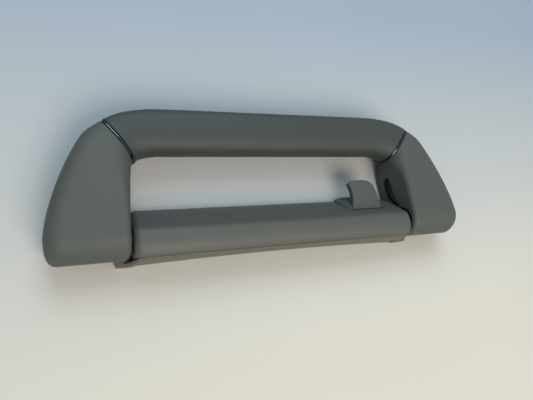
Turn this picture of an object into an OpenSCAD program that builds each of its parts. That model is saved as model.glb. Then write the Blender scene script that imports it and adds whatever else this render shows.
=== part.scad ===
// Roof grab handle with a folding bow, a fixed bar and a coat hook
// X runs along the handle, Y from the hinge up to the grip, Z out of the roof

/* [Bow] */
// Overall length of the bow, over both legs
bow_length = 241; // [225:1:260]
// Height of the grip's upper edge above the mounting holes' line
bow_rise = 64.5; // [58:0.1:76]
// Height of the grip, across the hand
grip_height = 24.9; // [22.5:0.1:28]
// Front of the grip above the roof
grip_front = 25; // [23.5:0.1:28]
// Back of the grip above the roof
grip_back = 4.4; // [3:0.1:6]
// Clear distance between the two legs
leg_span = 166; // [155:0.2:178]
// Radius of the round lower end of each leg
leg_end_r = 12.4; // [11.6:0.1:13]
// Height of the middle of that round end above the roof
leg_mid_z = 15; // [14.4:0.1:16.5]
// How far the legs' inner walls lean in towards the roof
leg_lean = 4; // [2:0.1:4.6]
// Gap between the roof and the back edge of the legs
leg_back = 0.6; // [0.3:0.1:2]
// Wall of the leg covers
cover_wall = 2.3; // [1.6:0.1:2.8]
// Width of the bright edge of each trim ring
trim_w = 0.9; // [0.5:0.1:1.6]
// Dark groove on each side of the bright edge
trim_groove = 0.55; // [0.3:0.05:1]

/* [Core] */
// Height of the core beam inside the grip
core_h = 12.6; // [10.5:0.1:13.6]
// Depth of the core beam
core_d = 12.6; // [11:0.1:13.4]
// Rim wall of the core beam
core_wall = 2.2; // [1.6:0.1:3]
// Thickness of the core's ribs
core_rib = 1.6; // [1.2:0.1:2.4]

/* [Hinge] */
// Height of the hinge axis above the roof
axis_z = 15; // [14.6:0.1:15.6]
// Distance of the hinge axis from the mounting holes' line, towards the lip
axis_shift = 2; // [1.6:0.1:2.6]
// Radius of the steel hinge pins
pin_r = 2.5; // [2:0.1:2.7]
// Running clearance of a pin in its bush
pin_clear = 0.05; // [0.02:0.01:0.09]
// Wall of the bearing bushes
bush_wall = 1.2; // [0.8:0.1:1.3]
// Radius of the eyes at the ends of the core
eye_r = 7; // [6.2:0.1:7.2]
// Wire radius of the return spring
spring_wire_r = 0.6; // [0.4:0.05:0.8]
// Turns of the return spring
spring_turns = 6; // [4:1:7]
// Outer radius of the rotary damper
damper_r = 5.1; // [4.4:0.1:5.2]

/* [Bar] */
// Gap between the bar and each leg
bar_gap = 0.6; // [0.5:0.1:1.4]
// Wall of the bar's cover
bar_wall = 2.2; // [1.6:0.1:2.6]
// Edge radius at the ends of the bar
bar_end_r = 3.8; // [2.6:0.1:4]
// Thickness of the carrier's floor
floor_t = 2.6; // [2:0.1:3.4]
// Length of the lip that runs on beneath each leg
tab_len = 7.8; // [5:0.1:9]
// Height of that lip above the roof
tab_h = 5.2; // [3.5:0.1:5.6]

/* [Mounting] */
// Distance between the two mounting holes
mount_pitch = 100; // [90:1:104]
// Bore radius of the steel sleeves
mount_r = 2.75; // [2.2:0.05:3.2]
// Wall of the steel sleeves
sleeve_wall = 1.5; // [1:0.1:1.8]
// Height of the screw seats above the roof
seat_h = 9; // [7:0.1:11]

/* [Coat hook] */
// Width of the hook's finger where it leaves the bar
hook_w = 21.4; // [18:0.1:24]
// Height of the finger above its seat
hook_h = 18.4; // [14:0.1:20]
// Thickness of the finger
hook_t = 3.8; // [3:0.1:5]
// Distance from the finger to the right end of the bar
hook_inset = 15.7; // [13:0.1:19]

/* [Hidden] */
$fn = 48;

grey = [0.31, 0.34, 0.335];
dark_grey = [0.2, 0.21, 0.21];
steel = [0.62, 0.63, 0.65];

half_len = bow_length / 2;
leg_in = leg_span / 2;
bar_half = leg_in - bar_gap;
grip_low = bow_rise - grip_height;
leg_front = leg_mid_z + leg_end_r;
axis_y = -axis_shift;
seat_gap = 0.1;

// Points on a smooth curve through a list of rows, n steps from row to row
function blend(a, b, c, d, t) =
  0.5 * (2 * b + (c - a) * t + (2 * a - 5 * b + 4 * c - d) * t * t
  + (3 * b - a - 3 * c + d) * t * t * t);
function smooth(rows, n) = [
  for (i = [0 : len(rows) - 2]) for (k = [0 : n - 1])
    blend(rows[max(i - 1, 0)], rows[i], rows[i + 1], rows[min(i + 2, len(rows) - 1)], k / n),
  rows[len(rows) - 1]
];
function unit(v) = v / norm(v);

// Quarter of an ellipse about c, from angle a0 over a quarter turn clockwise
function quarter(c, a, b, a0, n) = [
  for (k = [0 : n]) let (t = a0 - 90 * k / n) [c[0] + a * cos(t), c[1] + b * sin(t)]
];

// A row is one cross-section of the bow: outer point x y, inner point x y, front z,
// back z, then width and depth of the corners front inner, front outer, back outer,
// back inner, and last how far the inner wall leans in from front to back
function section(r, n) = let (
  p = [r[2], r[3]],
  w = norm([r[0] - r[2], r[1] - r[3]]),
  e = unit([r[0] - r[2], r[1] - r[3]]),
  flat = concat(
    quarter([r[12], r[5] + r[13]], r[12], r[13], 270, n),
    quarter([r[6], r[4] - r[7]], r[6], r[7], 180, n),
    quarter([w - r[8], r[4] - r[9]], r[8], r[9], 90, n),
    quarter([w - r[10], r[5] + r[11]], r[10], r[11], 0, n)))
  [for (q = flat) let (
    d = q[0] - r[14] * (r[4] - q[1]) / (r[4] - r[5]) * (1 - q[0] / w))
    [p[0] + e[0] * d, p[1] + e[1] * d, q[1]]];

// The same row drawn in by k on every side
function inset(r, k) = let (e = unit([r[0] - r[2], r[1] - r[3]]))
  concat([r[0] - e[0] * k, r[1] - e[1] * k, r[2] + e[0] * k, r[3] + e[1] * k,
    r[4] - k, r[5] + k], [for (i = [6 : 13]) max(r[i] - k, 0.3)], [r[14]]);

// The same row moved by s along the bow, towards the middle of the grip
function along(r, s) = let (e = unit([r[0] - r[2], r[1] - r[3]]))
  concat([r[0] - e[1] * s, r[1] + e[0] * s, r[2] - e[1] * s, r[3] + e[0] * s],
    [for (i = [4 : 14]) r[i]]);

// The same row with its back open, down to z
function open_back(r, z) = concat([for (i = [0 : 4]) r[i]], [z], [for (i = [6 : 9]) r[i]],
  [0.2, 0.2, 0.2, 0.2, r[14] * (r[4] - z) / (r[4] - r[5])]);

// Skin over a list of equal sections
module loft(secs) {
  n = len(secs[0]);
  m = len(secs);
  polyhedron(
    points = [for (s = secs) each s],
    faces = concat(
      [[for (i = [0 : n - 1]) i]],
      [for (j = [0 : m - 2]) for (i = [0 : n - 1]) let (i2 = (i + 1) % n)
        [j * n + i, (j + 1) * n + i, (j + 1) * n + i2]],
      [for (j = [0 : m - 2]) for (i = [0 : n - 1]) let (i2 = (i + 1) % n)
        [j * n + i, (j + 1) * n + i2, j * n + i2]],
      [[for (i = [n - 1 : -1 : 0]) (m - 1) * n + i]]));
}

// Leg end: the section follows a circle, and the corners are round
corner_out = 4.8;
corner_in = 4;
side_lean = 1.5;
edge_in = 3;
flank_w = 8;
flank_d = 8;
tip_angle = 8;
end_steps = 8;
function corner_cut(y, r, rc) = let (d = max(rc - r - y, 0))
  rc - sqrt(max(rc * rc - d * d, 0));
function end_row(a, k) = let (r = leg_end_r - k, y = -r * cos(a), h = r * sin(a))
  [half_len - k - side_lean * pow(y / r, 2) - corner_cut(y, r, corner_out - k), y,
   leg_in + k + corner_cut(y, r, corner_in - k), y,
   leg_mid_z + h, leg_mid_z - h,
   edge_in - min(k, 2), min(edge_in - min(k, 2), h), flank_w - k, min(flank_d - k, h),
   1, min(1, h), 1, min(1, h), 0];
function end_rows(k) = [for (i = [0 : end_steps - 1])
  end_row(tip_angle + (90 - tip_angle) * i / end_steps, k)];

// Leg above the hinge, up to the seam where the grip begins
back_low = leg_mid_z - leg_end_r;
leg_rows = [
  [half_len, 0, leg_in, 0, leg_front, back_low, 3, 3, 8, 8, 1, 1, 1, 1, 0],
  [half_len - 1.2, 8.2, leg_in, 7.5, leg_front, 1.6, 3, 3, 8, 8, 1, 1, 1, 1, 0],
  [half_len - 3.5, 17.5, leg_in, 15, leg_front - 0.1, leg_back, 3, 3, 8, 8, 1, 1, 1, 1, 0],
  [half_len - 7.2, 28.4, leg_in, grip_low - 16, leg_front - 0.4, leg_back,
    4, 4, 8, 7.5, 1.4, 1.4, 1.2, 1.2, leg_lean],
  [half_len - 12.3, bow_rise - 24.4, leg_in - 0.1, grip_low - 10.4, leg_front - 0.8, leg_back,
    6, 5, 7.5, 7, 2.4, 2.4, 2, 2, leg_lean],
  [half_len - 18.3, bow_rise - 14.2, leg_in - 1, grip_low - 6.2, leg_front - 1.2,
    leg_back + 0.5, 9, 7.5, 7, 6, 4, 3.8, 3.6, 3.4, 0.8 * leg_lean],
];
seam_row = [half_len - 26.6, bow_rise - 7.6, leg_in - 3.2, grip_low - 2.6, leg_front - 1.9,
  leg_back + 1.4, 12, 9.5, 6, 5, 6.4, 5.8, 6, 5.4, 0.3 * leg_lean];
grip_lean = -2.8;
grip_rows = [
  [half_len - 35.6, bow_rise - 3, leg_in - 7.6, grip_low - 0.7, grip_front + 0.2,
    grip_back - 0.6, 14, 10, 6, 5, 8.6, 7.4, 8.6, 7.2, grip_lean / 2],
  [half_len - 46.5, bow_rise - 0.7, leg_in - 15, grip_low - 0.1, grip_front,
    grip_back, 15, 10, 6, 5, 9.6, 8, 9.6, 8, grip_lean],
  [half_len - 60, bow_rise, leg_in - 26, grip_low, grip_front, grip_back,
    15, 10, 6, 5, 10, 8, 10, 8, grip_lean],
  [0, bow_rise, 0, grip_low, grip_front, grip_back, 15, 10, 6, 5, 10, 8, 10, 8, grip_lean],
];
seam_half = trim_w / 2 + trim_groove;
corner_n = 5;
leg_all = concat(leg_rows, [along(seam_row, -seam_half)]);

module right_cover_form(k, back) {
  upper = smooth([for (r = leg_all) inset(r, k)], 2);
  last = upper[len(upper) - 1];
  rows = concat(end_rows(k), upper, k > 0 ? [along(last, 2)] : []);
  loft([for (r = rows) section(k > 0 ? open_back(r, back) : r, corner_n)]);
}

// Core outline in the XY plane, right half, drawn in by k
core_mid = (bow_rise + grip_low) / 2;
arm_in = leg_in + 5.2;
arm_out = arm_in + 12.4;
arm_mid = (arm_in + arm_out) / 2;
core_z0 = leg_mid_z - 7.4;
core_z1 = core_z0 + core_d;
function core_half(k) = let (
  lo = core_mid - core_h / 2 + k,
  hi = core_mid + core_h / 2 - k,
  i = arm_in + k,
  o = arm_out - k)
  [[o, k - 2], [o, bow_rise - 35], [o - 4, bow_rise - 21], [o - 13, bow_rise - 11 - k],
   [o - 22, hi], [-o + 22, hi], [-o + 13, bow_rise - 11 - k], [-o + 4, bow_rise - 21],
   [-o, bow_rise - 35], [-o, k - 2], [-i, k - 2], [-i, grip_low - 6],
   [-i + 5, lo - 2], [-i + 14, lo], [i - 14, lo], [i - 5, lo - 2], [i, grip_low - 6],
   [i, k - 2]];

module along_x(x0, x1, y, z, r) {
  translate([x0, y, z]) rotate([0, 90, 0]) cylinder(h = x1 - x0, r = r);
}
module block(x0, x1, y0, y1, z0, z1) {
  translate([x0, y0, z0]) cube([x1 - x0, y1 - y0, z1 - z0]);
}
// Outline drawn in the YZ plane, run along X
module run_x(x0, x1, pts) {
  translate([x0, 0, 0]) rotate([90, 0, 90]) linear_extrude(x1 - x0) polygon(pts);
}

// Leg covers
screw_r = 1.4;
screw_head_r = 3;
screw_at = [[arm_mid, 14], [arm_mid, grip_low - 8]];
boss_r = 3.4;
hub_clear = 1.1;
wall_cut = 6;
hub_r = eye_r + hub_clear;
// Slot above the hub, through which the bar's end shows dark
hub_slot = [[27.8, 6.2], [27.3, 9.4], [21, 11.4], [14.4, 12.8], [8, 15], [3, 15], [3, 9],
  [8.5, 6.6], [15, 5], [21, 4.2], [26.4, 4.4]];
module end_cover() {
  front_in = leg_front - cover_wall;
  difference() {
    right_cover_form(0, 0);
    right_cover_form(cover_wall, -5);
    along_x(leg_in - wall_cut, leg_in + cover_wall + 1, axis_y, axis_z, hub_r);
    block(leg_in - wall_cut, leg_in + cover_wall + 1, axis_y - hub_r, axis_y + hub_r, -1, axis_z);
    run_x(leg_in - wall_cut, leg_in + cover_wall + 1, hub_slot);
  }
  for (p = screw_at) difference() {
    translate([p[0], p[1], core_z1]) cylinder(h = front_in + 0.6 - core_z1, r = boss_r);
    translate([p[0], p[1], core_z1 - 1]) cylinder(h = 4.2, r = screw_r);
  }
}
module right_end_cover() { color(grey) end_cover(); }
module left_end_cover() { color(grey) mirror([1, 0, 0]) end_cover(); }

// Trim rings: a bright edge between two dark grooves, on a collar that both sides hide
trim_shy = 0.15;
collar_in = 1.6;
collar_wall = 3.4;
module trim_ring() {
  difference() {
    union() {
      loft([for (s = [-trim_w / 2, trim_w / 2])
        section(inset(along(seam_row, s), trim_shy), corner_n)]);
      loft([for (s = [-seam_half, seam_half])
        section(inset(along(seam_row, s), collar_in), corner_n)]);
    }
    loft([for (s = [-3, 3]) section(inset(along(seam_row, s), collar_wall), corner_n)]);
  }
}
module right_trim_ring() { color("silver") trim_ring(); }
module left_trim_ring() { color("silver") mirror([1, 0, 0]) trim_ring(); }

// Grip: a thick moulded sleeve round the core
core_seat = 0.1;
module grip() {
  half = smooth(concat([along(seam_row, seam_half)], grip_rows), 3);
  m = len(half);
  mirrored = [for (i = [m - 2 : -1 : 0]) section(half[i], corner_n)];
  rows = concat([for (r = half) section(r, corner_n)],
    [for (s = mirrored) [for (q = s) [-q[0], q[1], q[2]]]]);
  color(grey) difference() {
    loft(rows);
    translate([0, 0, core_z0 - core_seat]) linear_extrude(core_d + 2 * core_seat)
      polygon(core_half(-core_seat));
    for (x = pad_x) translate([x, core_mid, 0]) cylinder(h = grip_back + pad_stem, r = pad_stem_r);
  }
}

// Core: a ribbed beam from hinge eye to hinge eye, open at the back
module bow_core() {
  pocket_top = core_z1 - 3;
  rib_pitch = 22;
  rib_n = floor((arm_in - 20) / rib_pitch);
  color(dark_grey) difference() {
    union() {
      difference() {
        translate([0, 0, core_z0]) linear_extrude(core_d) polygon(core_half(0));
        difference() {
          translate([0, 0, core_z0 - 1]) linear_extrude(pocket_top - core_z0 + 1)
            polygon(core_half(core_wall));
          for (i = [-rib_n : rib_n]) translate([i * rib_pitch, core_mid, axis_z])
            for (s = [-1, 1]) rotate([0, 0, s * 45])
              cube([core_rib, 40, 40], center = true);
          for (s = [-1, 1]) {
            for (p = screw_at) translate([s * p[0], p[1], 0]) cylinder(h = 40, r = 4.8);
            block(s * arm_mid - 7, s * arm_mid + 7, -6, 3, 0, 40);
          }
        }
      }
      for (s = [-1, 1]) {
        x0 = s > 0 ? leg_in + 0.7 : -arm_out;
        along_x(x0, x0 + arm_out - leg_in - 0.7, axis_y, axis_z, eye_r);
      }
    }
    along_x(-arm_out - 1, arm_out + 1, axis_y, axis_z, pin_r);
    for (s = [-1, 1]) for (p = screw_at) translate([s * p[0], p[1], 0]) {
      cylinder(h = 40, r = screw_r + 0.1);
      cylinder(h = core_z0 + 3.5, r = screw_head_r + 0.2);
    }
  }
}

module end_cover_screws() {
  color(steel) for (s = [-1, 1]) for (p = screw_at) translate([s * p[0], p[1], core_z0 + 1.5]) {
    cylinder(h = 2, r = screw_head_r);
    cylinder(h = core_z1 - core_z0 + 1.4, r = screw_r);
  }
}

// Rubber pads on the back of the grip, which meet the roof
pad_x = [-52, 52];
pad_r = 3;
pad_stem = 2.6;
pad_stem_r = 1.2;
module bump_pads() {
  color([0.1, 0.1, 0.1]) for (x = pad_x) translate([x, core_mid, 0]) {
    cylinder(h = grip_back, r = pad_r);
    cylinder(h = grip_back + pad_stem, r = pad_stem_r);
  }
}

// Outline of the bar's cover in the YZ plane, from the roof over the top and the nose
bar_top = 14.8;
bar_nose = 25.1;
low_edge = [-12.6, 21.3];
bar_curve = concat(
  [[bar_top, 0.6], [bar_top - 0.3, 3.6], [bar_top - 4, 10.4], [bar_top - 7.8, 15.9]],
  smooth([[bar_top - 10.8, 20.6], [0.7, bar_nose - 1.1], [-3.4, bar_nose],
    [-7.9, bar_nose - 0.6], [-11.4, low_edge[1] + 1.4], low_edge], 3));
function push_in(c, k) = [for (i = [0 : len(c) - 1]) let (
  t = unit(c[min(i + 1, len(c) - 1)] - c[max(i - 1, 0)])) c[i] + k * [-t[1], t[0]]];
// The front of the bar is a little narrower in the middle of its length
bar_waist = 0.7;
function waist(x) = bar_waist * (1 - pow(x / bar_half, 2));
function bar_section(x, k) = [for (q = concat(push_in(bar_curve, k), [[low_edge[0], 0.6]])) let (
  f = min(max((q[1] - 8) / 12, 0), 1))
  [x, q[0] - waist(x) * f * (0.5 + 0.07 * q[0]), q[1]]];

hook_x1 = bar_half - hook_inset;
hook_x0 = hook_x1 - hook_w;
hook_tail = 4.4;
hook_seat_y = 6.3;
hook_z0 = 3.4;
hook_z1 = 16.6;
// Footprint of the hook on the bar, X and Z, grown by k
function hook_foot(k) = [[hook_x0 - hook_tail - k, hook_z0 - k - (k > 0 ? 5 : 0)],
  [hook_x0 - hook_tail - k, 12.5], [hook_x0 - 1.4 - k, hook_z1 + k], [hook_x1 + k, hook_z1 + k],
  [hook_x1 + k, hook_z0 - k - (k > 0 ? 5 : 0)]];
clip_x = [-30, -12, 12, 30];
clip_t = 0.8;
clip_w = 7;
tongue_t = 1.6;
tongue_low = 7;
bush_r = pin_r + bush_wall;
flange_r = bush_r + 0.9;
flange_t = 1;
hole_clear = 0.4;
wall_x1 = bar_half - 2.8;
wall_x0 = wall_x1 - 5;

module bar_cover() {
  steps = 4;
  middle = 6;
  ends = [for (i = [0 : steps]) let (a = 90 * i / steps)
    [bar_half - bar_end_r * (1 - sin(a)), bar_end_r * (1 - cos(a))]];
  straight = bar_half - bar_end_r;
  secs = concat(
    [for (i = [steps : -1 : 1]) [-ends[i][0], ends[i][1]]],
    [for (i = [0 : middle]) [straight * (2 * i / middle - 1), 0]],
    [for (i = [1 : steps]) [ends[i][0], ends[i][1]]]);
  inner = push_in(bar_curve, bar_wall);
  low_in = inner[len(inner) - 1];
  color(grey) {
    difference() {
      loft([for (s = secs) bar_section(s[0], s[1])]);
      run_x(-bar_half + bar_wall, bar_half - bar_wall,
        concat([[inner[0][0], -1]], inner, [2 * low_edge - low_in, [lip_y, -1]]));
      along_x(-bar_half - 1, bar_half + 1, axis_y, axis_z, bush_r + hole_clear);
      translate([0, 30, 0]) rotate([90, 0, 0]) linear_extrude(30 - hook_seat_y + 0.5)
        polygon(hook_foot(seat_gap));
    }
    for (x = clip_x) block(x - clip_w / 2 + 0.5, x + clip_w / 2 - 0.5, -tongue_t / 2,
      tongue_t / 2, tongue_low, bar_nose - 2);
  }
}

// Spring clips that hold the cover's tongues in the carrier
module cover_clips() {
  w = tongue_t / 2;
  color(steel) for (x = clip_x) run_x(x - clip_w / 2, x + clip_w / 2,
    [[-w - clip_t, floor_t], [w + clip_t, floor_t], [w + clip_t, 12], [w, 12],
     [w, floor_t + clip_t], [-w, floor_t + clip_t], [-w, 12], [-w - clip_t, 12]]);
}

// Lip of the carrier below the cover, also the tab beneath each leg
lip_y = -14.1;
lip_in = low_edge[0] - 0.1;
lip_top = low_edge[1] - 0.2;
lip_face = [[lip_y, lip_top - 3.5], [lip_y + 0.5, lip_top - 1.7], [lip_in, lip_top],
  [lip_in, lip_top - 8]];
lip_seat = [[lip_in - 0.5, lip_top - 5.2], [lip_in - 0.5, lip_top - 0.6], [lip_in, lip_top],
  [lip_in + 1.6, lip_top - 1.4], [lip_in, lip_top - 3.6]];
lip_end = 1;
tab_clear = 0.5;
tab_inner = -8.3;
rib_x = [-63, -21, 0, 21, 67];
rail_y = [-8, 4.6];
boss_wall = 1.2;
floor_x = bar_half - bar_wall - seat_gap;
module lip() {
  x1 = bar_half - lip_end;
  run_x(-x1, x1, concat([[lip_y + 1, 0]], lip_face, [[lip_in, 0]]));
}
module base_carrier() {
  inner = push_in(bar_curve, bar_wall + seat_gap + 0.1);
  back_wall = 2.2;
  color(dark_grey) difference() {
    union() {
      block(-floor_x, floor_x, lip_in, inner[0][0] - 0.1, 0, floor_t);
      lip();
      run_x(-floor_x, floor_x, lip_seat);
      for (s = [-1, 1]) {
        x0 = s > 0 ? bar_half : -bar_half - tab_len;
        block(x0 + seat_gap, x0 + tab_len - seat_gap, lip_y, tab_inner, 0, tab_h);
        block(x0 - 2, x0 + tab_len + 2, lip_y, lip_in, 0, tab_h - 1);
      }
      run_x(-floor_x, hook_x0 - hook_tail - 1,
        [[inner[0][0] - back_wall, 0], inner[0], inner[1], inner[2],
         [inner[2][0] - 1.6, inner[2][1] - 1.2], [inner[1][0] - back_wall, inner[1][1]]]);
      for (s = [-1, 1]) {
        x0 = s > 0 ? wall_x0 : -wall_x1;
        run_x(x0, x0 + wall_x1 - wall_x0,
          concat([[inner[0][0], 0]], inner, [[lip_in, 0]]));
      }
      for (x = rib_x) block(x - 1, x + 1, lip_in, x > hook_x0 ? hook_seat_y - 1 : inner[2][0], 0, 8);
      for (s = [-1, 1]) translate([s * mount_pitch / 2, 0, 0])
        cylinder(h = seat_h, r = mount_r + sleeve_wall + boss_wall);
      for (y = rail_y) block(-wall_x0, wall_x0, y - 0.9, y + 0.9, 0, 5.4);
      for (x = clip_x) block(x - clip_w / 2 - 1.2, x + clip_w / 2 + 1.2, -3.2, 3.2, 0, 9);
      block(hook_x0 - 6, wall_x0, hook_seat_y - seat_wall, hook_seat_y, 0, 12.4);
      block(damper_x0, damper_x1, axis_y - 6, axis_y + 6, 0, axis_z - 4);
    }
    along_x(-bar_half, bar_half, axis_y, axis_z, bush_r);
    along_x(damper_x0 - 1, damper_x1 + 1, axis_y, axis_z, damper_r);
    translate([screw_x, hook_seat_y - 10, hook_screw_z]) rotate([-90, 0, 0])
      cylinder(h = 20, r = screw_r + 0.2);
    for (s = [-1, 1]) {
      x0 = s > 0 ? bar_half : -bar_half - 20;
      along_x(x0, x0 + 20, 0, leg_mid_z, leg_end_r + tab_clear);
    }
    for (s = [-1, 1]) translate([s * mount_pitch / 2, 0, -1])
      cylinder(h = 20, r = mount_r + sleeve_wall);
    for (x = clip_x) block(x - clip_w / 2, x + clip_w / 2, -tongue_t / 2 - clip_t,
      tongue_t / 2 + clip_t, floor_t, 20);
  }
}
damper_x0 = -wall_x0 + 2.2;
damper_len = 11;
damper_x1 = damper_x0 + damper_len;
damper_wall = 0.9;
plate_t = 1.2;

module mount_sleeves() {
  color(steel) for (s = [-1, 1]) translate([s * mount_pitch / 2, 0, 0]) difference() {
    cylinder(h = seat_h, r = mount_r + sleeve_wall);
    translate([0, 0, -1]) cylinder(h = seat_h + 2, r = mount_r);
  }
}

// Coat hook: a fin-shaped finger on a saddle that drops into the bar
hook_screw_z = 8.4;
screw_x = hook_x0 + 15;
screw_deep = 5;
seat_wall = 2.2;
function hook_fin(k) = let (w = hook_w - k, h = hook_h - k) concat(
  smooth([[k, 0], [1 + k, 0.2 * hook_h], [1.6 + k, 0.4 * hook_h], [1.7 + k, 0.58 * hook_h],
    [1.3 + k, 0.73 * hook_h], [0.2 + k, hook_h - 2.4]], 2),
  smooth([[1.5, h - 1], [3.6, h - 0.3], [8, h], [w - 8, h - 0.3], [w - 4.4, h - 1.9],
    [w - 2.7, h - 4.6], [w - 1.4, 0.5 * hook_h], [w - 0.6, 0.25 * hook_h], [w, 0]], 2));
// Saddle: depth z, left end and height above the seat
saddle_rows = [[hook_z1 - 0.3, 1.2, 0.9], [hook_z1 - 2.8, 3.1, 3.8], [10.2, 4.1, 7],
  [8, hook_tail, 8.4], [hook_z0 + 0.5, hook_tail, 10.7], [hook_z0, hook_tail - 0.4, 10.4]];
module coat_hook() {
  color(grey) difference() {
    union() {
      loft([for (s = [[hook_z1, 0.7], [hook_z1 - 0.8, 0],
        [hook_z1 - hook_t + 0.5, 0], [hook_z1 - hook_t, 0.5]])
        [for (q = hook_fin(s[1])) [hook_x0 + q[0], hook_seat_y + q[1], s[0]]]]);
      loft([for (s = saddle_rows) let (x = hook_x0 - s[1], h = s[2], f = min(1, h / 5))
        [for (q = [[x, 0], [x, h - 1.7 * f], [x + 1.4, h - 1.1 * f], [x + 3.4, h - 0.5 * f],
          [x + 6.8, h], [hook_x1 - 0.4, h], [hook_x1 - 0.4, 0]])
          [q[0], hook_seat_y + q[1], s[0]]]]);
    }
    translate([screw_x, hook_seat_y - 1, hook_screw_z]) rotate([-90, 0, 0])
      cylinder(h = screw_deep + 1, r = screw_r);
  }
}
module hook_screw() {
  low = hook_seat_y - seat_wall;
  color(steel) translate([screw_x, 0, hook_screw_z]) rotate([-90, 0, 0]) {
    translate([0, 0, low - 1.6]) cylinder(h = 1.6, r = screw_head_r - 0.2);
    translate([0, 0, low - 0.1]) cylinder(h = screw_deep + 2.2, r = screw_r);
  }
}

// Plain bearing bush with a flange on its inner side, pressed into the carrier
module bush() {
  difference() {
    union() {
      along_x(wall_x0, leg_in + 0.4, axis_y, axis_z, bush_r);
      along_x(wall_x0 - flange_t, wall_x0, axis_y, axis_z, flange_r);
    }
    along_x(wall_x0 - 5, leg_in + 5, axis_y, axis_z, pin_r + pin_clear);
  }
}
module right_bush() { color([0.8, 0.78, 0.7]) bush(); }
module left_bush() { color([0.8, 0.78, 0.7]) mirror([1, 0, 0]) bush(); }

// Hinge pins, pressed into the eyes of the core
spring_mean_r = pin_r + spring_wire_r + 0.6;
spring_pitch = 2 * spring_wire_r + 0.25;
clip_gap = 0.3;
clip_thick = 0.8;
spring_x1 = wall_x0 - flange_t - clip_gap - clip_thick - spring_wire_r - 0.5;
spring_x0 = spring_x1 - spring_turns * spring_pitch;
pin_x0 = spring_x0 - 2.4;
module right_hinge_pin() {
  color(steel) difference() {
    along_x(pin_x0, arm_out, axis_y, axis_z, pin_r);
    translate([spring_x0, axis_y, axis_z]) rotate([90, 0, 0])
      cylinder(h = 20, r = spring_wire_r + 0.12, center = true);
  }
}
module left_hinge_pin() {
  color(steel) along_x(-arm_out, damper_x1 - plate_t - 0.6, axis_y, axis_z, pin_r);
}
module pin_clips() {
  color(steel) for (s = [-1, 1]) {
    x1 = wall_x0 - flange_t - clip_gap;
    x0 = s > 0 ? x1 - clip_thick : -x1;
    difference() {
      along_x(x0, x0 + clip_thick, axis_y, axis_z, pin_r + 1.3);
      along_x(x0 - 1, x0 + clip_thick + 1, axis_y, axis_z, pin_r);
      block(x0 - 1, x0 + clip_thick + 1, axis_y - 1.6, axis_y + 1.6, axis_z, axis_z + 10);
    }
  }
}

// Return spring: a close coil, one end on the carrier's floor, the other in the pin
wire_sides = 6;
turn_steps = 14;
function ring_at(c, u, v, r) = [for (i = [0 : wire_sides - 1]) let (a = 360 * i / wire_sides)
  c + u * (r * cos(a)) + v * (r * sin(a))];
module return_spring() {
  r = spring_mean_r;
  steps = spring_turns * turn_steps;
  coil = [for (i = [0 : steps]) let (a = 360 * i / turn_steps)
    ring_at([spring_x0 + spring_pitch * spring_turns * i / steps, axis_y + r * cos(a),
      axis_z + r * sin(a)], [0, cos(a), sin(a)], [1, 0, 0], spring_wire_r)];
  inner_end = [for (y = [-pin_r + 0.5, r])
    ring_at([spring_x0, axis_y + y, axis_z], [0, 0, 1], [1, 0, 0], spring_wire_r)];
  outer_end = [for (z = [floor_t + 0.1, axis_z])
    ring_at([spring_x1, axis_y + r, z], [0, -1, 0], [1, 0, 0], spring_wire_r)];
  color(steel) {
    loft([for (i = [steps : -1 : 0]) coil[i]]);
    loft(inner_end);
    loft(outer_end);
  }
}

// Rotary damper on the left pin
module damper_body() {
  color(dark_grey) difference() {
    along_x(damper_x0, damper_x1 - plate_t, axis_y, axis_z, damper_r);
    along_x(damper_x0 + plate_t, damper_x1, axis_y, axis_z, damper_r - damper_wall);
    along_x(damper_x0 - 1, damper_x1, axis_y, axis_z, pin_r + 0.15);
  }
}
module damper_cap() {
  color([0.55, 0.5, 0.4]) along_x(damper_x1 - plate_t, damper_x1, axis_y, axis_z, damper_r);
}
module damper_rotor() {
  x0 = damper_x0 + plate_t + 0.3;
  x1 = damper_x1 - plate_t - 0.3;
  r = damper_r - damper_wall - 0.3;
  color([0.75, 0.75, 0.72]) difference() {
    along_x(x0, x1, axis_y, axis_z, r);
    along_x(x0 - 1, x1 - 0.3, axis_y, axis_z, pin_r);
    for (x = [x0 + 1.6 : 2.4 : x1 - 1.6]) difference() {
      along_x(x, x + 1, axis_y, axis_z, r + 1);
      along_x(x - 1, x + 2, axis_y, axis_z, r - 0.5);
    }
  }
}

base_carrier();
bar_cover();
cover_clips();
coat_hook();
hook_screw();
mount_sleeves();
left_bush();
right_bush();
return_spring();
damper_body();
damper_cap();
bow_core();
grip();
left_end_cover();
right_end_cover();
left_trim_ring();
right_trim_ring();
end_cover_screws();
bump_pads();
left_hinge_pin();
right_hinge_pin();
pin_clips();
damper_rotor();
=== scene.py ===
import math

import bpy
import bmesh
import numpy as np
from mathutils import Matrix, Vector


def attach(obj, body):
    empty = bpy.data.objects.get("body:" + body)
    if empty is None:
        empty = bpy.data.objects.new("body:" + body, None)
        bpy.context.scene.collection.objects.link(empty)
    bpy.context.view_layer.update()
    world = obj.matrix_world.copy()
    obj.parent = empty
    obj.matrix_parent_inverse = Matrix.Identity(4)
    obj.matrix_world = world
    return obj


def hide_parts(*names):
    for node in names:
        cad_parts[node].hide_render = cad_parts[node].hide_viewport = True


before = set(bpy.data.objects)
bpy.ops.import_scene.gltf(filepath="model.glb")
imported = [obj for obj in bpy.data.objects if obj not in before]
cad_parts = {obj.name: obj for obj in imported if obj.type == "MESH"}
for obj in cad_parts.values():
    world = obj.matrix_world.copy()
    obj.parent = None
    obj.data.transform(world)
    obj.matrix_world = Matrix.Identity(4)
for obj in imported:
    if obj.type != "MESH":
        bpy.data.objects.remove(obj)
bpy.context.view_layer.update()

MM = 0.001
scene = bpy.context.scene

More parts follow.
